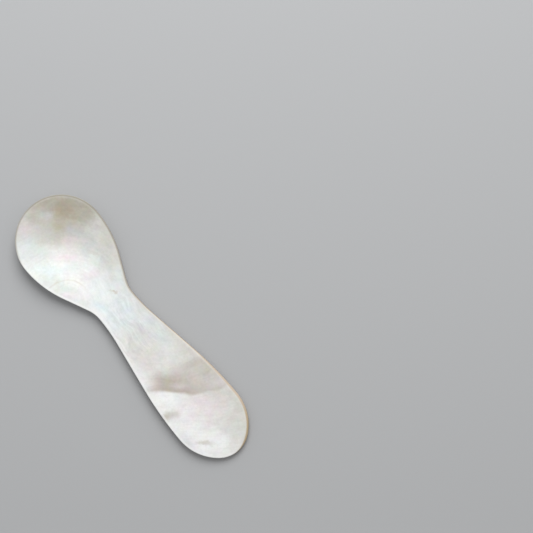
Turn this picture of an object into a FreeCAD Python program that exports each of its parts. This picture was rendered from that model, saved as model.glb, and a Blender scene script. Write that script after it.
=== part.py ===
import FreeCAD, Part
import math
import os
import Sketcher

# Table spoon of mother-of-pearl: a curved piece of shell with a dished bowl, a waisted neck
# and a broad handle, sawn out to its outline and buffed round at its edges.
# Millimetres. +X runs along the spoon to the bowl's tip and +Z is up, out of the dish. The
# origin is on the table, under the middle of the spoon's length and width.

NODE = "spoon"

# Driving sizes. "From the tip" and "from the end" are measured along the spoon, from the
# bowl's tip and from the handle's end.
SIZES = {
    # Outline, seen from above
    "length": 120.0,
    "bowl_width": 34.5,
    "neck_width": 16.0,
    "neck_from_tip": 49.0,
    "handle_width": 27.8,
    "handle_widest_from_end": 17.2,
    "handle_end_radius": 11.0,
    # Shares of the way from the neck to a widest place over which a side bends, at the widest
    # place and at the neck. It runs straight between the two bends.
    "bowl_flank_bend": 0.54,
    "neck_bend_to_bowl": 0.17,
    "neck_bend_to_handle": 0.21,
    "handle_side_bend": 0.43,
    # Side view: the underside touches the table below the dish and at the handle's end
    "tip_height": 3.7,
    "dish_lowest_from_tip": 20.0,
    "crest_from_tip": 54.0,
    "crest_height": 1.2,
    # Hollow across the spoon, as the radius of the upper face
    "bowl_hollow_radius": 44.0,
    "handle_hollow_radius": 150.0,
    # Thickness of the shell, and how far its edges are ground back and then buffed
    "bowl_wall": 1.6,
    "handle_wall": 1.9,
    "edge_bevel": 0.45,
    "edge_softening": 0.35,
    # What the curved blank has to spare all round the outline
    "saw_margin": 3.0,
}

doc = FreeCAD.newDocument("table_spoon")
sizes = doc.addObject("Spreadsheet::Sheet", "sizes")
for row, (name, number) in enumerate(SIZES.items(), start=1):
    sizes.set(f"A{row}", name)
    sizes.set(f"B{row}", str(number))
    sizes.setAlias(f"B{row}", name)
doc.recompute()

body = doc.addObject("PartDesign::Body", NODE)
body.Label = NODE
body.Placement = FreeCAD.Placement()

# What a sketch calls the ends and the centre of an arc, and its own origin and axes
START, END, CENTRE = range(1, 4)
ORIGIN = (-1, 1)
ACROSS, UPRIGHT = -1, -2


def evaluate(formula):
    """The number that a formula on the sheet gives now."""
    answer = sizes.evalExpression(formula)
    return float(getattr(answer, "Value", answer))


def new_sketch(name, role):
    """An empty sketch on one of the body's own three base planes."""
    sketch = body.newObject("Sketcher::SketchObject", name)
    plane = next(part for part in body.Origin.OriginFeatures if part.Role == role)
    sketch.AttachmentSupport = [(plane, "")]
    sketch.MapMode = "FlatFace"
    return sketch


def bind(sketch, kind, *places, name, formula):
    """A named dimension of a sketch that follows a formula on the sheet."""
    index = sketch.addConstraint(Sketcher.Constraint(kind, *places, evaluate(formula)))
    sketch.renameConstraint(index, name)
    sketch.setExpression(f"Constraints.{name}", formula)


# Curved blank: cross sections of the shell, one behind the other from the tip to the
# handle's end and a little past both, and a smooth loft through them. Each lies between two
# arcs about one centre, so the shell is evenly thick. Every section says how far it stands
# from the tip, the height of its underside over the table, the radius of its hollow upper
# face and its wall.

def front_section(share):
    """From the lowest place of the dish, at 0, to the tip, at 1: a steady upward curve."""
    return {
        "from_tip": f"sizes.dish_lowest_from_tip * {1 - share}",
        "height": f"sizes.tip_height * {share ** 2}",
        "hollow": "sizes.bowl_hollow_radius",
        "wall": "sizes.bowl_wall",
    }


def back_section(share):
    """From the lowest place of the dish, at 0, to the crest of the neck, at 1: an S curve."""
    way = "(sizes.crest_from_tip - sizes.dish_lowest_from_tip)"
    up = share ** 2 * (3 - 2 * share)
    return {
        "from_tip": f"sizes.dish_lowest_from_tip + {share} * {way}",
        "height": f"sizes.crest_height * {up}",
        "hollow": f"1 / ({1 - up} / sizes.bowl_hollow_radius + {up} / sizes.handle_hollow_radius)",
        "wall": f"sizes.bowl_wall * {1 - up} + sizes.handle_wall * {up}",
    }


def handle_section(share):
    """From the crest of the neck, at 0, to the handle's end, at 1: a long low arch."""
    way = "(sizes.length - sizes.crest_from_tip)"
    return {
        "from_tip": f"sizes.crest_from_tip + {share} * {way}",
        "height": f"sizes.crest_height * {1 - share ** 2}",
        "hollow": "sizes.handle_hollow_radius",
        "wall": "sizes.handle_wall",
    }


def draw_section(number, section):
    """One cross section of the blank, standing across the spoon."""
    sketch = new_sketch(f"section_{number}", "YZ_Plane")
    sketch.setExpression("AttachmentOffset.Base.z", f"sizes.length / 2 - ({section['from_tip']})")
    half = "sizes.bowl_width / 2 + sizes.saw_margin"
    inner = section["hollow"]
    outer = f"{inner} + {section['wall']}"
    centre = f"{section['height']} + {outer}"
    half_now, inner_now, outer_now, centre_now = map(evaluate, (half, inner, outer, centre))

    def corner(side, radius):
        drop = math.sqrt(radius ** 2 - half_now ** 2)
        return FreeCAD.Vector(side * half_now, centre_now - drop, 0)

    for radius in (inner_now, outer_now):
        lowest = FreeCAD.Vector(0, centre_now - radius, 0)
        sketch.addGeometry(Part.Arc(corner(-1, radius), lowest, corner(1, radius)))
    for side in (-1, 1):
        sketch.addGeometry(Part.LineSegment(corner(side, inner_now), corner(side, outer_now)))
    upper, lower, left, right = range(4)
    sketch.addConstraint([
        Sketcher.Constraint("Coincident", left, START, upper, START),
        Sketcher.Constraint("Coincident", left, END, lower, START),
        Sketcher.Constraint("Coincident", right, START, upper, END),
        Sketcher.Constraint("Coincident", right, END, lower, END),
        Sketcher.Constraint("Coincident", upper, CENTRE, lower, CENTRE),
        Sketcher.Constraint("PointOnObject", upper, CENTRE, UPRIGHT),
        Sketcher.Constraint("Vertical", left),
        Sketcher.Constraint("Vertical", right),
    ])
    bind(sketch, "DistanceX", left, START, *ORIGIN, name="left_half", formula=half)
    bind(sketch, "DistanceX", *ORIGIN, right, START, name="right_half", formula=half)
    bind(sketch, "Radius", upper, name="hollow_radius", formula=inner)
    bind(sketch, "Radius", lower, name="underside_radius", formula=outer)
    bind(sketch, "DistanceY", *ORIGIN, upper, CENTRE, name="centre_height", formula=centre)
    return sketch


stations = [front_section(share) for share in (1.15, 0.75, 0.35)]
stations += [back_section(share) for share in (0.0, 0.25, 0.5, 0.75)]
stations += [handle_section(share) for share in (0.0, 0.25, 0.5, 0.75, 1.05)]
sections = [draw_section(number, station) for number, station in enumerate(stations, start=1)]
doc.recompute()

blank = body.newObject("PartDesign::AdditiveLoft", "curved_blank")
blank.Profile = sections[0]
blank.Sections = sections[1:]
doc.recompute()


# Outline: from above, each side is a chain of arcs and two straight runs, each touching the
# next. A place is (from the tip, out from the middle line), drawn once for either side.

length, saw_margin = evaluate("sizes.length"), evaluate("sizes.saw_margin")
tip_radius, end_radius = evaluate("sizes.bowl_width / 2"), evaluate("sizes.handle_end_radius")
bowl_widest = FreeCAD.Vector(tip_radius, tip_radius)
narrowest = FreeCAD.Vector(evaluate("sizes.neck_from_tip"), evaluate("sizes.neck_width / 2"))
handle_widest = FreeCAD.Vector(
    evaluate("sizes.length - sizes.handle_widest_from_end"), evaluate("sizes.handle_width / 2"))


way_to_bowl = "(sizes.neck_from_tip - sizes.bowl_width / 2)"
way_to_handle = "(sizes.length - sizes.handle_widest_from_end - sizes.neck_from_tip)"
bends = {
    "flank": f"sizes.bowl_flank_bend * {way_to_bowl}",
    "waist_front": f"sizes.neck_bend_to_bowl * {way_to_bowl}",
    "waist_back": f"sizes.neck_bend_to_handle * {way_to_handle}",
    "handle_side": f"sizes.handle_side_bend * {way_to_handle}",
}


def straight_run(widest, bend_at_widest, bend_at_neck):
    """Both ends of the run from a widest place to the neck. Its slope is found by halving."""
    way = narrowest - widest
    first, last = evaluate(bends[bend_at_widest]), evaluate(bends[bend_at_neck])
    low, high = 0.0, math.pi / 2
    for _ in range(60):
        slope = (low + high) / 2
        fall = (first + last) * math.tan(slope / 2) + (abs(way.x) - first - last) * math.tan(slope)
        low, high = (slope, high) if fall < -way.y else (low, slope)
    heading = math.copysign(1, way.x)
    bend = FreeCAD.Vector(heading, -math.tan(slope / 2))
    return widest + bend * first, narrowest - bend * last


flank_end, waist_start = straight_run(bowl_widest, "flank", "waist_front")
side_start, waist_end = straight_run(handle_widest, "handle_side", "waist_back")

end_centre = FreeCAD.Vector(length - end_radius, 0)
past_widest = end_centre.x - handle_widest.x
shoulder_radius = past_widest ** 2 + handle_widest.y ** 2 - end_radius ** 2
shoulder_radius /= 2 * (handle_widest.y - end_radius)
shoulder_centre = handle_widest - FreeCAD.Vector(0, shoulder_radius)
shoulder_end = end_centre + (end_centre - shoulder_centre).normalize() * end_radius

outline = new_sketch("outline", "XY_Plane")


def seen(place, side):
    """A place in the sketch, on the left side of the spoon for 1 and on the right for -1."""
    return FreeCAD.Vector(length / 2 - place.x, side * place.y)


def draw_arc(level, other, side):
    """An arc that runs along the spoon at its level place and bends away to another."""
    step = other - level
    radius = step.Length ** 2 / (2 * abs(step.y))
    centre = level + FreeCAD.Vector(0, math.copysign(radius, step.y))
    middle = centre + ((level + other) * 0.5 - centre).normalize() * radius
    return outline.addGeometry(Part.Arc(seen(level, side), seen(middle, side), seen(other, side)))


def draw_run(start, stop, side):
    """A straight run between two places."""
    return outline.addGeometry(Part.LineSegment(seen(start, side), seen(stop, side)))


def run_on(one, other, place, side):
    """Joins two stretches smoothly at a place, and returns that end of the second."""
    spot = seen(place, side)
    one_end, other_end = ((piece, START if outline.getPoint(piece, START).isEqual(spot, 1e-6) else END)
                          for piece in (one, other))
    outline.addConstraint(Sketcher.Constraint("Tangent", *one_end, *other_end))
    return other_end


tip_arc = outline.addGeometry(Part.Arc(
    seen(bowl_widest, 1), FreeCAD.Vector(length / 2, 0), seen(bowl_widest, -1)))
end_arc = outline.addGeometry(Part.Arc(
    seen(shoulder_end, 1), FreeCAD.Vector(-length / 2, 0), seen(shoulder_end, -1)))
for arc in (tip_arc, end_arc):
    outline.addConstraint(Sketcher.Constraint("PointOnObject", arc, CENTRE, ACROSS))
bind(outline, "Radius", tip_arc, name="tip_radius", formula="sizes.bowl_width / 2")
bind(outline, "Radius", end_arc, name="end_radius", formula="sizes.handle_end_radius")
bind(outline, "DistanceX", *ORIGIN, tip_arc, CENTRE, name="tip_centre",
     formula="sizes.length / 2 - sizes.bowl_width / 2")
bind(outline, "DistanceX", end_arc, CENTRE, *ORIGIN, name="end_centre",
     formula="sizes.length / 2 - sizes.handle_end_radius")

for side, named in ((1, "left"), (-1, "right")):
    flank = draw_arc(bowl_widest, flank_end, side)
    bowl_run = draw_run(flank_end, waist_start, side)
    waist_front = draw_arc(narrowest, waist_start, side)
    waist_back = draw_arc(narrowest, waist_end, side)
    handle_run = draw_run(waist_end, side_start, side)
    handle_side = draw_arc(handle_widest, side_start, side)
    shoulder = draw_arc(handle_widest, shoulder_end, side)
    run_on(tip_arc, flank, bowl_widest, side)
    flank_stop = run_on(flank, bowl_run, flank_end, side)
    front_stop = run_on(bowl_run, waist_front, waist_start, side)
    waist = run_on(waist_front, waist_back, narrowest, side)
    back_stop = run_on(waist_back, handle_run, waist_end, side)
    side_stop = run_on(handle_run, handle_side, side_start, side)
    widest = run_on(handle_side, shoulder, handle_widest, side)
    run_on(shoulder, end_arc, shoulder_end, side)
    for arc, level in ((flank, (tip_arc, CENTRE)), (waist_front, waist), (handle_side, widest)):
        outline.addConstraint(Sketcher.Constraint("Vertical", arc, CENTRE, *level))
    bind(outline, "DistanceX", *waist, tip_arc, CENTRE, name=f"{named}_waist", formula=way_to_bowl)
    bind(outline, "DistanceX", end_arc, CENTRE, *widest, name=f"{named}_widest",
         formula="sizes.handle_widest_from_end - sizes.handle_end_radius")
    for bend, before, after in (("flank", flank_stop, (tip_arc, CENTRE)), ("waist_front", waist, front_stop),
                                ("waist_back", back_stop, waist), ("handle_side", widest, side_stop)):
        bind(outline, "DistanceX", *before, *after, name=f"{named}_{bend}", formula=bends[bend])
    for place, called, width in ((waist, "neck", "neck_width"), (widest, "handle", "handle_width")):
        span = (*ORIGIN, *place) if side > 0 else (*place, *ORIGIN)
        bind(outline, "DistanceY", *span, name=f"{named}_{called}", formula=f"sizes.{width} / 2")

# Everything between the outline and a frame round the whole blank is sawn away
frame_half = {
    "DistanceX": "sizes.length / 2 + 2 * sizes.saw_margin",
    "DistanceY": "sizes.bowl_width / 2 + 2 * sizes.saw_margin",
}
frame_x, frame_y = (evaluate(formula) for formula in frame_half.values())
corners = [FreeCAD.Vector(x * frame_x, y * frame_y) for x, y in ((1, 1), (-1, 1), (-1, -1), (1, -1))]
left_bar, end_bar, right_bar, tip_bar = bars = [
    outline.addGeometry(Part.LineSegment(first, last))
    for first, last in zip(corners, corners[1:] + corners[:1])]
for one, other in zip(bars, bars[1:] + bars[:1]):
    outline.addConstraint(Sketcher.Constraint("Coincident", one, END, other, START))
for one, other, lie in ((left_bar, right_bar, "Horizontal"), (end_bar, tip_bar, "Vertical")):
    outline.addConstraint([Sketcher.Constraint(lie, bar) for bar in (one, other)])
for kind, before, after in (("DistanceX", end_bar, tip_bar), ("DistanceY", right_bar, left_bar)):
    bind(outline, kind, before, START, *ORIGIN, name=f"frame_before_{kind}", formula=frame_half[kind])
    bind(outline, kind, *ORIGIN, after, START, name=f"frame_after_{kind}", formula=frame_half[kind])
doc.recompute()
if not outline.FullyConstrained:
    raise RuntimeError("the outline is not fully held by its sizes")

sawn = body.newObject("PartDesign::Pocket", "sawn_outline")
sawn.Profile = outline
sawn.Type = "ThroughAll"
sawn.SideType = "Symmetric"
doc.recompute()
if sawn.Shape.Volume > 0.9 * blank.Shape.Volume:
    raise RuntimeError("the outline cut nothing off the blank")


# Edges: ground back to a bevel, above and below, all the way round, and then buffed. The
# long edges run along the rim, and the short ones only part one stretch of it from the next.

def rim(shape):
    """The names of the edges that run along the rim."""
    return [f"Edge{number}" for number, edge in enumerate(shape.Edges, start=1)
            if edge.Length > evaluate("2 * sizes.handle_wall")]


bevel = body.newObject("PartDesign::Chamfer", "ground_bevel")
bevel.Base = (sawn, rim(sawn.Shape))
bevel.setExpression("Size", "sizes.edge_bevel")
doc.recompute()

buffed = body.newObject("PartDesign::Fillet", "buffed_edges")
buffed.Base = (bevel, rim(bevel.Shape))
buffed.setExpression("Radius", "sizes.edge_softening")
doc.recompute()

for made in doc.Objects:
    if "Invalid" in made.State or "Error" in made.State:
        raise RuntimeError(f"{made.Label} failed: {made.State}")
if body.Shape.isNull() or not body.Shape.isValid() or len(body.Shape.Solids) != 1:
    raise RuntimeError("the spoon is not one valid solid")

os.makedirs("parts", exist_ok=True)
body.Shape.exportStep(f"parts/{body.Label}.step")
surface = body.Shape.tessellate(0.02)[0]
print(f"{NODE}: {body.Shape.Volume:.1f} mm3, {body.Shape.Area:.1f} mm2")
for axis in "xyz":
    along = [getattr(spot, axis) for spot in surface]
    print(f"{axis.upper()} {min(along):.3f} to {max(along):.3f}")
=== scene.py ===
import math

import bmesh
import bpy
import numpy as np
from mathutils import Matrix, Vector, noise


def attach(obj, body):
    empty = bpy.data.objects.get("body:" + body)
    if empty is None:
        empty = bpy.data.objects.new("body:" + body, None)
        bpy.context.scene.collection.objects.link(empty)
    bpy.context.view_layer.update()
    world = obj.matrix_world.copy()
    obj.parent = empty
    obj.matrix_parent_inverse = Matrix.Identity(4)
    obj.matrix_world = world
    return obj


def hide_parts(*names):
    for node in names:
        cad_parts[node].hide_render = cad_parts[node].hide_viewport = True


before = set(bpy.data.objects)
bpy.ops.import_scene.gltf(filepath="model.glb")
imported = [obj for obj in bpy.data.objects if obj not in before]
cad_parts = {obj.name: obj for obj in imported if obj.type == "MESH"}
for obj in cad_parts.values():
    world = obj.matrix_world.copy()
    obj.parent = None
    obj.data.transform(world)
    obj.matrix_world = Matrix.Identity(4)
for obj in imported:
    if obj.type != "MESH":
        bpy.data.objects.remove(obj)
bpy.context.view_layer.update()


# Spoon. It is one piece of mother-of-pearl, sawn out of a curved shell, ground thin from the
# outside, filed to a dished bowl, a waisted neck and a broad handle, and then polished.

# Outline: each side is a chain of arcs and straight runs, in millimetres from the bowl's tip
# and out from the middle line. The bends take shares of the way from a widest place to the neck.
MM = 0.001
LENGTH = 120.0
BOWL_WIDEST = (17.25, 17.25)
NECK = (49.0, 8.0)
HANDLE_WIDEST = (102.8, 13.9)
END_RADIUS = 11.0
BOWL_BENDS, HANDLE_BENDS = (0.54, 0.17), (0.43, 0.21)
ARC_STEPS, HALVINGS, RIM_PLACES = 60, 60, 440


def level_arc(level, other):
    """Places on the arc that runs along the spoon at one place and bends away to another."""
    along, out = other[0] - level[0], other[1] - level[1]
    radius = (along ** 2 + out ** 2) / (2 * abs(out))
    turned = 2 * math.atan2(abs(out), abs(along))
    angles = [turned * step / ARC_STEPS for step in range(ARC_STEPS + 1)]
    return [(level[0] + math.copysign(radius * math.sin(angle), along),
             level[1] + math.copysign(radius * (1 - math.cos(angle)), out)) for angle in angles]


def bent_and_straight(widest, widest_share, neck_share):
    """A side from a widest place to the neck: a bend at each end and a straight run between."""
    way, fall = NECK[0] - widest[0], widest[1] - NECK[1]
    first, last = widest_share * abs(way), neck_share * abs(way)
    low, high = 0.0, math.pi / 2
    for _ in range(HALVINGS):
        slope = (low + high) / 2
        fallen = (first + last) * math.tan(slope / 2) + (abs(way) - first - last) * math.tan(slope)
        low, high = (slope, high) if fallen < fall else (low, slope)
    heading, bend = math.copysign(1, way), math.tan(slope / 2)
    run_start = (widest[0] + heading * first, widest[1] - bend * first)
    run_end = (NECK[0] - heading * last, NECK[1] + bend * last)
    return level_arc(widest, run_start) + level_arc(NECK, run_end)[::-1]


end_centre = LENGTH - END_RADIUS
past_widest = end_centre - HANDLE_WIDEST[0]
shoulder_radius = (past_widest ** 2 + HANDLE_WIDEST[1] ** 2 - END_RADIUS ** 2) / (
    2 * (HANDLE_WIDEST[1] - END_RADIUS))
end_turn = math.atan2(shoulder_radius - HANDLE_WIDEST[1], past_widest)
end_arc = [(end_centre + END_RADIUS * math.cos(end_turn * left / ARC_STEPS),
            END_RADIUS * math.sin(end_turn * left / ARC_STEPS)) for left in range(ARC_STEPS, -1, -1)]

side = level_arc(BOWL_WIDEST, (0.0, 0.0))[::-1]
side += bent_and_straight(BOWL_WIDEST, *BOWL_BENDS)[1:]
side += bent_and_straight(HANDLE_WIDEST, *HANDLE_BENDS)[-2::-1]
side += level_arc(HANDLE_WIDEST, end_arc[0])[1:] + end_arc[1:]
side = np.array(side)
travelled = np.concatenate([[0], np.cumsum(np.linalg.norm(np.diff(side, axis=0), axis=1))])
evenly = np.linspace(0, travelled[-1], RIM_PLACES // 2 + 1)
left_side = np.stack([LENGTH / 2 - np.interp(evenly, travelled, side[:, 0]),
                      np.interp(evenly, travelled, side[:, 1])], axis=1)
outline = np.concatenate([left_side, left_side[-2:0:-1] * (1, -1)])

# Flat sheet inside that outline: narrow rows follow the rim, and a net of squares fills the
# middle and is then relaxed, so that no square lies across another
RIM_ROWS = (0.6, 0.4, 0.5, 0.7)
ACROSS_THE_ENDS = 36

bpy.ops.object.select_all(action="DESELECT")
bpy.ops.mesh.primitive_circle_add(vertices=RIM_PLACES, radius=LENGTH / 2 * MM, fill_type="NGON")
spoon = bpy.context.object
spoon.name = spoon.data.name = "nacre_spoon"
for corner, (x, y) in zip(spoon.data.vertices, outline * MM):
    corner.co = (x, y, 0)

bpy.ops.object.mode_set(mode="EDIT")
bpy.ops.mesh.select_all(action="SELECT")
for row in RIM_ROWS:
    bpy.ops.mesh.inset(thickness=row * MM, use_even_offset=True)
sheet = bmesh.from_edit_mesh(spoon.data)
ring = [corner.co.copy() for corner in next(face for face in sheet.faces if face.select).verts]
tip = max(range(len(ring)), key=lambda place: ring[place].x)
net_corner = ring[(tip - ACROSS_THE_ENDS // 2) % len(ring)]
bpy.ops.mesh.delete(type="ONLY_FACE")

bpy.ops.mesh.select_all(action="DESELECT")
sheet = bmesh.from_edit_mesh(spoon.data)
for edge in sheet.edges:
    from_outline = np.linalg.norm(outline * MM - edge.verts[0].co.xy[:], axis=1).min()
    if edge.is_boundary and from_outline > sum(RIM_ROWS) / 2 * MM:
        edge.select_set(True)
sheet.select_history.add(min(sheet.verts, key=lambda corner: (corner.co - net_corner).length))
bmesh.update_edit_mesh(spoon.data)
bpy.ops.mesh.fill_grid(span=ACROSS_THE_ENDS)
bpy.ops.mesh.vertices_smooth(factor=0.5, repeat=60)
bpy.ops.object.mode_set(mode="OBJECT")

# Form, in millimetres: the dish, the low arch of the handle and the even wall. The lowest place
# and the crest are places from the tip, and the hollows are radii across the spoon.
DISH_LOWEST, CREST = 20.0, 54.0
TIP_HEIGHT, CREST_HEIGHT = 3.7, 1.2
BOWL_HOLLOW, HANDLE_HOLLOW = 44.0, 150.0
BOWL_WALL, HANDLE_WALL = 1.6, 1.9


def shell_faces(x, y):
    """Heights of the upper face and of the underside over the table."""
    from_tip = LENGTH / 2 - x
    climb = np.clip((from_tip - DISH_LOWEST) / (CREST - DISH_LOWEST), 0, 1)
    climbed = climb ** 2 * (3 - 2 * climb)
    towards_tip = np.clip(1 - from_tip / DISH_LOWEST, 0, None)
    down_handle = np.clip((from_tip - CREST) / (LENGTH - CREST), 0, None)
    middle = TIP_HEIGHT * towards_tip ** 2 + CREST_HEIGHT * (climbed - down_handle ** 2)
    hollow = 1 / ((1 - climbed) / BOWL_HOLLOW + climbed / HANDLE_HOLLOW)
    wall = BOWL_WALL + (HANDLE_WALL - BOWL_WALL) * climbed
    upper = middle + wall + hollow - np.sqrt(hollow ** 2 - y ** 2)
    under = middle + wall + hollow - np.sqrt((hollow + wall) ** 2 - y ** 2)
    return upper, under


def places(mesh):
    """The places of a mesh's corners, in millimetres."""
    flat = np.empty(len(mesh.vertices) * 3)
    mesh.vertices.foreach_get("co", flat)
    return flat.reshape(-1, 3) / MM


def move_to(mesh, spots):
    """Puts a mesh's corners at places in millimetres."""
    mesh.vertices.foreach_set("co", (spots * MM).ravel())
    mesh.update()


def from_rim(spots):
    """How far in from the outline each place lies, seen from above."""
    stretch = np.roll(outline, -1, axis=0) - outline
    nearest = np.full(len(spots), np.inf)
    for start, step in zip(outline, stretch):
        share = np.clip((spots[:, :2] - start) @ step / (step @ step), 0, 1)
        nearest = np.minimum(nearest, np.linalg.norm(
            spots[:, :2] - start - share[:, None] * step, axis=1))
    return nearest


def eased(low, high, along):
    """A smooth step from 0 at one value to 1 at the other."""
    share = np.clip((along - low) / (high - low), 0, 1)
    return share ** 2 * (3 - 2 * share)


# Ground bevel: its full width, how far it falls over each millimetre of that, and where it
# begins and reaches the full width, along and across the spoon
BEVEL_WIDTH, BEVEL_FALL = 0.85, 0.5
BEVEL_ALONG, BEVEL_ACROSS = (-5, -45), (2, -6)


def ground_band(x, y):
    """Width of the bevel ground on the handle's right edge and round its end."""
    return BEVEL_WIDTH * eased(*BEVEL_ALONG, x) * eased(*BEVEL_ACROSS, y)


spots = places(spoon.data)
upper, under = shell_faces(spots[:, 0], spots[:, 1])
beyond = ground_band(spots[:, 0], spots[:, 1]) - from_rim(spots)
spots[:, 2] = upper - BEVEL_FALL * np.clip(beyond, 0, None)
move_to(spoon.data, spots)

# Underside: a copy of that sheet, lowered by the wall
bpy.ops.object.mode_set(mode="EDIT")
bpy.ops.mesh.select_all(action="SELECT")
bpy.ops.mesh.duplicate()
bpy.ops.object.mode_set(mode="OBJECT")
spots = places(spoon.data)
spots[len(under):, 2] = under
move_to(spoon.data, spots)

# Wall between the two faces, with its edges taken off by buffing
BUFFED, SHARP = 0.2, math.radians(44)

bpy.ops.object.mode_set(mode="EDIT")
bpy.ops.mesh.select_all(action="DESELECT")
bpy.ops.mesh.select_non_manifold(extend=False, use_wire=False, use_multi_face=False,
                                 use_non_contiguous=False, use_verts=False)
bpy.ops.mesh.bridge_edge_loops(number_cuts=2, interpolation="LINEAR")
bpy.ops.mesh.select_all(action="SELECT")
bpy.ops.mesh.normals_make_consistent(inside=False)
bpy.ops.mesh.select_all(action="DESELECT")
bpy.ops.mesh.select_mode(type="EDGE")
bpy.ops.mesh.edges_select_sharp(sharpness=SHARP)
bpy.ops.mesh.bevel(offset=BUFFED * MM, segments=2, profile=0.55, affect="EDGES",
                   clamp_overlap=True)
bpy.ops.object.mode_set(mode="OBJECT")

rounding = spoon.modifiers.new("rounding", "SUBSURF")
rounding.levels = rounding.render_levels = 1
bpy.ops.object.modifier_apply(modifier="rounding")
bpy.ops.object.shade_smooth()

# Low swells that polishing leaves in the upper face, away from the rim. The material reads the
# distance in from the rim, the depth as a share of the wall, and the width of bevel left.
SWELL, SWELL_ACROSS = 0.07, 9.0
SWELL_FROM_RIM, SWELL_DEPTH = (0.5, 3.0), (0.1, 0.5)

spots = places(spoon.data)
upper, under = shell_faces(spots[:, 0], spots[:, 1])
inward = from_rim(spots)
depth = np.clip((upper - spots[:, 2]) / (upper - under), 0, 1)
swells = np.array([noise.noise(Vector(spot / (SWELL_ACROSS, SWELL_ACROSS, SWELL_ACROSS * 3)))
                   for spot in spots])
spots[:, 2] += SWELL * swells * eased(*SWELL_FROM_RIM, inward) * (1 - eased(*SWELL_DEPTH, depth))
move_to(spoon.data, spots)
for name, values in (("inward", inward), ("depth", depth),
                     ("bevelled", ground_band(spots[:, 0], spots[:, 1]) - inward)):
    layer = spoon.data.attributes.new(name, "FLOAT", "POINT")
    layer.data.foreach_set("value", values)


# Figure of the shell: nacre is laid down in thin clouded layers, so it is painted as soft
# patches and bands over a pale ground, each placed in millimetres along and across the spoon


def written(red, green, blue):
    """A colour given as 0 to 255 on screen."""
    return (*(((part / 255 + 0.055) / 1.055) ** 2.4 for part in (red, green, blue)), 1.0)


class Figure:
    """A socket in a tree of nodes, which Python's arithmetic extends with further nodes."""

    def __init__(self, tree, socket=None):
        self.tree, self.socket = tree, socket

    def node(self, kind, settings=None, inputs=None, output=0):
        """Adds a node: its settings first, then the values or links of its sockets."""
        made = self.tree.nodes.new("ShaderNode" + kind)
        for name, setting in (settings or {}).items():
            setattr(made, name, setting)
        for key, given in (inputs or {}).items():
            if isinstance(given, Figure):
                self.tree.links.new(given.socket, made.inputs[key])
            else:
                made.inputs[key].default_value = given
        return Figure(self.tree, made.outputs[output])

    def maths(self, operation, *given):
        """The result of a Math node on numbers and values."""
        return self.node("Math", {"operation": operation}, dict(enumerate(given)))

    def __add__(self, other):
        return self.maths("ADD", self, other)

    __radd__ = __add__

    def __sub__(self, other):
        return self.maths("SUBTRACT", self, other)

    def __rsub__(self, other):
        return self.maths("SUBTRACT", other, self)

    def __mul__(self, other):
        return self.maths("MULTIPLY", self, other)

    __rmul__ = __mul__

    def vector(self, operation, *others, output=0):
        """Vector maths, with this vector or colour as the first of those it works on."""
        return self.node("VectorMath", {"operation": operation},
                         dict(enumerate((self, *others))), output)

    def scaled(self, factor):
        """This vector or colour, multiplied by a number or a value."""
        return self.node("VectorMath", {"operation": "SCALE"}, {0: self, "Scale": factor})

    def step(self, low, high):
        """A smooth step from 0 at one value to 1 at the other."""
        return self.node("MapRange", {"interpolation_type": "SMOOTHSTEP"},
                         {"Value": self, "From Min": low, "From Max": high})

    def raw_noise(self, size, detail, rough, output):
        """Blender's noise, as a value at output 0 or as a colour at output 1."""
        return self.node("TexNoise", None, {"Vector": self, "Scale": 1 / size, "Detail": detail,
                                            "Roughness": rough}, output)

    def noise(self, size, detail=2.0, rough=0.5):
        """Cloudy noise about that many millimetres across, from about -0.5 to 0.5."""
        return self.raw_noise(size, detail, rough, 0) - 0.5

    def colour_noise(self, size, detail=2.0, rough=0.5):
        """The same noise, on its own in each of the three channels."""
        return self.raw_noise(size, detail, rough, 1).vector("SUBTRACT", (0.5, 0.5, 0.5))

    def layers(self, level, size, stretch=8.0):
        """Noise drawn out along lines of equal level, as the edges of thin layers are."""
        drawn = self.node("CombineXYZ", None, {0: level, 1: self.part(0) * (1 / stretch),
                                               2: self.part(1) * (1 / stretch)})
        return drawn.noise(size, 3.0, 0.6)

    def part(self, which):
        """One of this vector's three parts."""
        return self.node("SeparateXYZ", None, {0: self}, which)

    def between(self, first, second):
        """The first colour where this share is 0, the second where it is 1. On a Mix node the
        colours are sockets 6 and 7, and their mix is output 2."""
        return self.node("Mix", {"data_type": "RGBA"}, {0: self, 6: first, 7: second}, 2)

    def tinted(self, colour, share):
        """This colour, mixed towards another by a share."""
        return share.between(self, colour)

    def patch(self, middle, reach, turned=0.0, core=0.0):
        """1 in the core of an oval patch, fading to 0 at its reach. The turn is in degrees, and
        the core is a share of the reach."""
        local = self.node("Mapping", {"vector_type": "TEXTURE"}, {
            "Vector": self, "Location": (*middle, 0.0), "Scale": (*reach, 1000.0),
            "Rotation": (0.0, 0.0, math.radians(turned))})
        return local.vector("LENGTH", output="Value").step(1.0, core)


nacre = bpy.data.materials.new("nacre")
nacre.use_nodes = True
shader = nacre.node_tree.nodes["Principled BSDF"]
figure = Figure(nacre.node_tree)
spot = figure.node("TexCoord", output="Object").scaled(1 / MM)
inward, depth, bevelled = (figure.node("Attribute", {"attribute_name": name}, output="Fac")
                           for name in ("inward", "depth", "bevelled"))

# The edge of a wave or line wanders in wide lobes, and that of a cloud is frayed as well
lobed = spot.vector("ADD", spot.colour_noise(9.0, 1.0).scaled(5.0))
frayed = lobed.vector("ADD", spot.colour_noise(2.4, 3.0, 0.65).scaled(3.0))
along, across = lobed.part(0), lobed.part(1)

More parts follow.
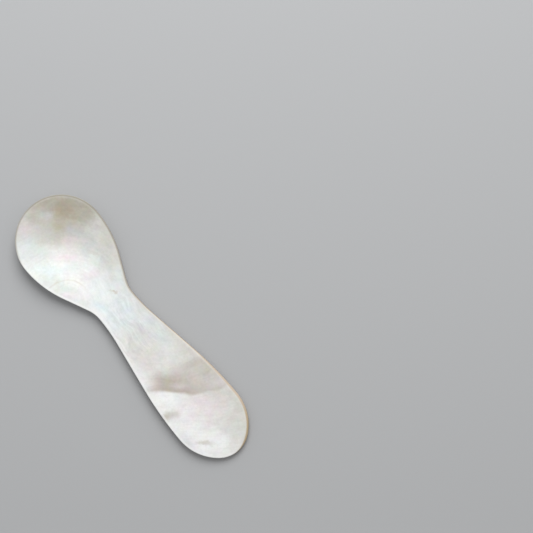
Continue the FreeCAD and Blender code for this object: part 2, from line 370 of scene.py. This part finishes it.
# Colours of the clouds, and the pale ground under them, which is cooler and lighter on the left.
# The lighter left and darker right are partly the shell's own tone and partly painted shade.
TAN, OLIVE = written(184, 167, 149), written(189, 184, 170)
STONE, SMOKE, HAZE = written(198, 195, 188), written(195, 199, 203), written(216, 221, 224)
CREAM, SNOW = written(231, 226, 216), written(242, 244, 245)
ROSE, SEA, SKY = written(241, 221, 233), written(218, 236, 226), written(219, 234, 241)
MAUVE = written(208, 196, 204)
WARM_SHADED_GROUND, COOL_LIT_GROUND = written(219, 218, 214), written(235, 236, 237)
pearl = across.step(-13.0, 12.0).between(WARM_SHADED_GROUND, COOL_LIT_GROUND)

# Middle, reach, turn, core, colour and strength of each cloud
# In the bowl, the pale clouds over its middle and left side and the greyer, olive and tan ones
# towards its tip and right side are partly the shell's figure and partly painted sheen and shade
BOWL_CLOUDS = [
    ((12, 0), (26, 10), 0, 0.4, SKY, 0.45),
    ((31, 5), (17, 12), 50, 0.3, SNOW, 0.60),
    ((46, 11.5), (14, 8), 0, 0.3, HAZE, 0.85),
    ((31, 13), (18, 5.5), 18, 0.3, HAZE, 0.90),
    ((37, 12), (9, 4), 50, 0.0, SKY, 0.70),
    ((50, -2), (17, 11.5), 50, 0.4, STONE, 0.88),
    ((48.5, -11.5), (14, 6.5), 50, 0.4, OLIVE, 0.80),
    ((51.5, -8), (7.5, 6), 50, 0.0, TAN, 0.52),
    ((47, -3), (5.5, 3.5), 50, 0.0, OLIVE, 0.85),
    ((57.5, -5), (10, 3.2), 76, 0.0, OLIVE, 0.85),
    ((56, 10), (7, 3), -47, 0.0, STONE, 0.50),
    ((50, 4.5), (7.5, 4), 50, 0.0, HAZE, 0.45),
    ((34, -7), (13, 6), -8, 0.3, SMOKE, 0.22),
    ((35.5, -7), (7, 3.6), 119, 0.0, SMOKE, 0.40),
    ((27, -7), (7, 3), -10, 0.0, SMOKE, 0.35),
    ((41.5, -5.5), (5, 4), 50, 0.0, SMOKE, 0.55),
    ((33, -2.7), (6, 3), 50, 0.0, SNOW, 0.65),
    ((54, 7), (5, 4), 0, 0.0, ROSE, 0.35),
    ((41, -2.5), (5, 2), 50, 0.0, ROSE, 0.30),
    ((38, 3.5), (8, 2.2), 50, 0.1, ROSE, 0.28),
    ((35.5, 1), (7, 2.2), 50, 0.1, ROSE, 0.35),
    ((26, 0), (8, 4), 80, 0.0, ROSE, 0.32),
    ((25, 11), (4.5, 3.5), 50, 0.0, ROSE, 0.35),
    ((46, 9), (6, 4), 50, 0.0, SEA, 0.45),
    ((29, 10), (5, 4), 50, 0.0, SEA, 0.50),
    ((34, 6), (8, 3), 50, 0.0, SKY, 0.40),
    ((30, -4.5), (6, 2.5), 0, 0.0, SEA, 0.50),
    ((18, 0), (6, 7), 0, 0.0, SNOW, 0.60),
    ((53.5, -1.5), (5.5, 2.4), 72, 0.0, HAZE, 0.55),
    ((19, -8.5), (7, 3), -20, 0.0, SKY, 0.50),
    ((16.5, -3), (2.2, 0.6), 50, 0.0, TAN, 0.50),
]
HANDLE_CLOUDS = [
    ((8, -3), (5, 3), 20, 0.0, SKY, 0.40),
    ((-1, -1.5), (8, 4), 20, 0.0, MAUVE, 0.40),
    ((14, 5), (6, 3), 20, 0.0, SKY, 0.50),
    ((-6, -6), (16, 4), -8, 0.2, SKY, 0.35),
    ((-7, 4), (13, 8), 0, 0.3, STONE, 0.38),
    ((-20, 5), (7, 5), 30, 0.2, STONE, 0.15),
    ((-26.5, 9), (6, 3.4), 50, 0.2, SNOW, 0.80),
    ((-31, 6.5), (7, 4), 60, 0.2, SNOW, 0.90),
    ((-37, 5), (6, 4), 50, 0.0, SNOW, 0.90),
    ((-34.5, -11), (9, 4), 50, 0.0, SNOW, 0.90),
    ((-52, 5), (9, 7), 50, 0.3, SNOW, 0.80),
    ((-39, 0), (13, 9), 50, 0.2, ROSE, 0.26),
    ((-44, 8), (9, 7), 40, 0.2, SNOW, 0.40),
    ((-33, 11.5), (6.5, 3.2), 60, 0.0, STONE, 0.85),
    ((-50, 8), (6, 1.5), 50, 0.0, STONE, 0.70),
    ((-46, 13), (7, 3), -8, 0.0, HAZE, 0.70),
    ((-27.5, -3.5), (5, 4), 50, 0.0, SNOW, 0.70),
]
for middle, reach, turned, core, colour, strength in BOWL_CLOUDS + HANDLE_CLOUDS:
    pearl = pearl.tinted(colour, frayed.patch(middle, reach, turned, core) * strength)

# Handle: a brown-grey wave with a crisp lower edge, which fades out before the handle's left
# edge, a fainter wave above it on the right side, and a pale patch over it
DUSK = written(189, 181, 175)
CREST_BACK, CREST_SLANT, CREST_BEND = 32.1, 0.68, 0.016
CUT_ALONG, CUT_ACROSS = 0.64, 0.77
crest = along - across * CREST_SLANT - across * across * CREST_BEND + CREST_BACK
cut_off = (along * CUT_ALONG + across * CUT_ACROSS).step(-2.5, -10.0)
wave = crest.step(-0.7, 1.1) * (1 - crest.step(6.5, 16.0)) * cut_off
pearl = pearl.tinted(DUSK, wave * (0.55 + 0.5 * across.step(-9.0, 4.0)))
upper_wave = crest.step(9.0, 12.0) * (1 - crest.step(12.0, 16.0)) * (1 - across.step(-6.0, 1.0))
pearl = pearl.tinted(DUSK, upper_wave * 0.5)
pearl = pearl.tinted(SNOW, frayed.patch((-27, 1.5), (6, 3), 50) * 0.25)

# Edges of the layers: arches round one place at the bowl's left side, with one tan growth line
# among them, long lines in the neck, and lines beside the wave in the handle
ARCH_MIDDLE = (23.0, 13.9, 0.0)
GROWTH_RADIUS, GROWTH_BLUR = 9.1, 0.6
LAYER, NECK_LAYER = 1.1, 0.9
arch = spot.vector("SUBTRACT", ARCH_MIDDLE).vector("MULTIPLY", (1, 1, 0))
arch = arch.vector("LENGTH", output="Value") + spot.noise(6.0, 1.0) * 1.5
in_bowl, in_handle = along.step(8.0, 20.0), along.step(-6.0, -16.0)
silk = lobed.layers(arch, LAYER) * in_bowl + lobed.layers(crest, LAYER) * in_handle
silk = silk + lobed.layers(across, NECK_LAYER) * (1 - in_bowl) * (1 - in_handle) * 2.4
growth_line = (arch.step(GROWTH_RADIUS - GROWTH_BLUR, GROWTH_RADIUS)
               * arch.step(GROWTH_RADIUS + GROWTH_BLUR, GROWTH_RADIUS)
               * spot.patch((30, 9), (9, 9), 0, 0.5))
pearl = pearl.tinted(TAN, growth_line * 0.22)

# Mottle, coarse and fine, and a pastel play of colour
mottle = silk * 0.18 + frayed.noise(3.4, 3.0, 0.6) * 0.24 + spot.noise(0.9, 2.0, 0.6) * 0.18
pearl = pearl.scaled(mottle + 1)
play = spot.colour_noise(3.2, 3.0, 0.55).scaled(0.12)
pearl = pearl.vector("ADD", play)

# Rim: a cream margin on the right side, a painted highlight as a pale line along the left rim, a
# dull grey edge at the bowl's tip and right side, and horny brown layers, which run level in the
# wall and show from above at the handle's right edge
BROWN, HORN, DULL = written(158, 140, 120), written(200, 178, 154), written(150, 146, 136)
right_side, bowl_side = spot.part(1).step(6.0, -6.0), spot.part(0).step(0.0, 15.0)
pearl = pearl.tinted(CREAM, inward.step(1.5, 0.5) * right_side * 0.4)
# Painted highlight: a pale line just inside the left rim, where the rounded edge would catch light
painted_rim_highlight = inward.step(1.1, 0.6) * spot.part(0).step(40.0, 25.0) * (1 - right_side)
pearl = pearl.tinted(SNOW, painted_rim_highlight * 0.5)
tip_and_right = (right_side + along.step(40.0, 55.0)).step(0.0, 1.0)
pearl = pearl.tinted(DULL, inward.step(0.8, 0.1) * tip_and_right * bowl_side * 0.8)
lamina = spot.vector("MULTIPLY", (0.03, 0.03, 1)).noise(0.35, 3.0, 0.6)
horn = lamina.step(-0.12, 0.12).between(BROWN, HORN)
horn_side = (depth + right_side - bowl_side * 0.8).step(0.15, 0.6)
pearl = pearl.tinted(horn, inward.step(0.3, 0.05) * horn_side * 0.9)

# Ground bevel, which cuts into the brown layers and is darker towards the handle's end
PALE_HORN, DARK_HORN = written(196, 178, 162), written(184, 160, 128)
bevel_horn = spot.part(0).step(-42.0, -56.0).between(PALE_HORN, DARK_HORN)
pearl = pearl.tinted(bevel_horn, bevelled.step(-0.25, 0.35) * 0.9)

# Underside: the same shell, quieter and warmer
back = (silk * 0.3 + frayed.noise(12.0)).step(-0.35, 0.35).between(CREAM, STONE)
pearl = pearl.tinted(back, depth.step(0.85, 0.97) * inward.step(0.1, 0.6))

figure.tree.links.new(pearl.socket, shader.inputs["Base Color"])
relief = figure.node("Bump", None, {"Strength": 0.25, "Distance": 0.05 * MM,
                                    "Height": silk + frayed.noise(2.6, 3.0)})
figure.tree.links.new(relief.socket, shader.inputs["Normal"])
shader.inputs["Roughness"].default_value = 0.34
shader.inputs["IOR"].default_value = 1.56
shader.inputs["Thin Film Thickness"].default_value = 430.0
shader.inputs["Thin Film IOR"].default_value = 1.36
spoon.data.materials.append(nacre)

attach(spoon, "root")
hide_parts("spoon")


# Table. It is covered with one plain sheet of matt grey paper, which lies loose and flat under
# the spoon and reaches past the view on every side. Sizes are in metres.
PAPER_ACROSS = 4
PAPER_GREY = (0.433, 0.44, 0.448, 1)

bpy.ops.object.select_all(action="DESELECT")
bpy.ops.mesh.primitive_plane_add(size=PAPER_ACROSS, location=(0, 0, 0))
table = bpy.context.object
table.name = "table"
paper = bpy.data.materials.new("grey_paper")
paper.use_nodes = True
shader = paper.node_tree.nodes["Principled BSDF"]
shader.inputs["Base Color"].default_value = PAPER_GREY
shader.inputs["Roughness"].default_value = 0.9
table.data.materials.append(paper)


# Light and camera. The room gives soft light from all round, brighter on the window's side. One
# broad round window past the picture's upper edge gives the rest, and the camera looks straight
# down.

# The picture's directions, and its middle in millimetres, in the spoon's frame
PHOTO_RIGHT = Vector((-0.640, -0.768, 0))
PHOTO_UP = Vector((0.768, -0.640, 0))
PICTURE_MIDDLE = (PHOTO_RIGHT * 49.17 + PHOTO_UP * 23.29) * MM

# Strengths of the light, lengths in metres, and the lens in millimetres
ROOM_LIGHT, ROOM_SLOPE = 0.54, 0.32
WINDOW_SIZE, WINDOW_POWER = 0.55, 4.1
WINDOW_AWAY, WINDOW_HEIGHT = 0.50, 0.49
CAMERA_HEIGHT, CAMERA_LENS = 0.5, 89.63

world = bpy.data.worlds.new("room")
bpy.context.scene.world = world
world.use_nodes = True
background = world.node_tree.nodes["Background"]
towards_window = Figure(world.node_tree).node("TexCoord").vector(
    "DOT_PRODUCT", PHOTO_UP, output="Value")
brightness = ROOM_SLOPE * towards_window + ROOM_LIGHT
world.node_tree.links.new(brightness.socket, background.inputs["Strength"])
background.inputs["Color"].default_value = (1, 1, 1, 1)

window = bpy.data.objects.new("window", bpy.data.lights.new("window", "AREA"))
bpy.context.scene.collection.objects.link(window)
window.data.shape = "DISK"
window.data.size = WINDOW_SIZE
window.data.energy = WINDOW_POWER
window.location = PICTURE_MIDDLE + PHOTO_UP * WINDOW_AWAY + Vector((0, 0, WINDOW_HEIGHT))
window.rotation_euler = (PICTURE_MIDDLE - window.location).to_track_quat("-Z", "Y").to_euler()

camera = bpy.data.objects.new("camera", bpy.data.cameras.new("camera"))
bpy.context.scene.collection.objects.link(camera)
camera.data.sensor_width = 36
camera.data.lens = CAMERA_LENS
camera.location = PICTURE_MIDDLE + Vector((0, 0, CAMERA_HEIGHT))
camera.rotation_euler = (0, 0, math.atan2(PHOTO_RIGHT.y, PHOTO_RIGHT.x))
bpy.context.scene.camera = camera
bpy.context.scene.view_settings.view_transform = "Standard"
